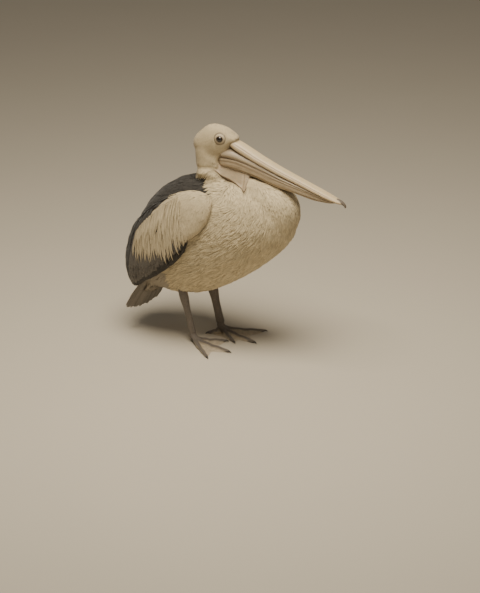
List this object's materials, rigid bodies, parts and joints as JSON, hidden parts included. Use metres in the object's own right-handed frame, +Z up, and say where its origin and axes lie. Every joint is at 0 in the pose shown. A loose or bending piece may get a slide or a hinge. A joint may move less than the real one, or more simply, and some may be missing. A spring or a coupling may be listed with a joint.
{
  "type": "standing australian pelican, life-size still model",
  "caption": "Life-size model of a pelican standing with its neck drawn in, its wings folded and its long bill resting on its breast.",
  "frame": {"origin": "on the floor under the middle of the model's box", "axes": "+X the way the bird faces, +Y its left side, +Z up"},
  "size_m": [0.7202, 0.293, 0.6919],
  "materials": {
    "white_plumage": "soft overlapping feathers",
    "black_plumage": "sleek black-brown feathers",
    "horn": "satin horn",
    "nail": "polished horn",
    "pouch_skin": "bare folded skin",
    "leg_skin": "scaled skin",
    "claw": "polished horn",
    "eye": "wet and glossy"
  },
  "bodies": {
    "root": {"head": "white_plumage", "neck_upper": "white_plumage", "neck_lower": "white_plumage", "trunk": "white_plumage", "thigh_right": "white_plumage", "thigh_left": "white_plumage", "wing_coverts_right": "white_plumage", "wing_coverts_left": "white_plumage", "wing_flight_right": "black_plumage", "wing_flight_left": "black_plumage", "tail": "black_plumage", "bill_upper": "horn", "bill_nail": "nail", "bill_lower": "pouch_skin", "throat_pouch": "pouch_skin", "eye_right": "eye", "eye_left": "eye", "shank_right": "leg_skin", "shank_left": "leg_skin", "foot_right": "leg_skin", "foot_left": "leg_skin", "claw_right_1": "claw", "claw_right_2": "claw", "claw_right_3": "claw", "claw_right_4": "claw", "claw_left_1": "claw", "claw_left_2": "claw", "claw_left_3": "claw", "claw_left_4": "claw"}
  },
  "joints": []
}
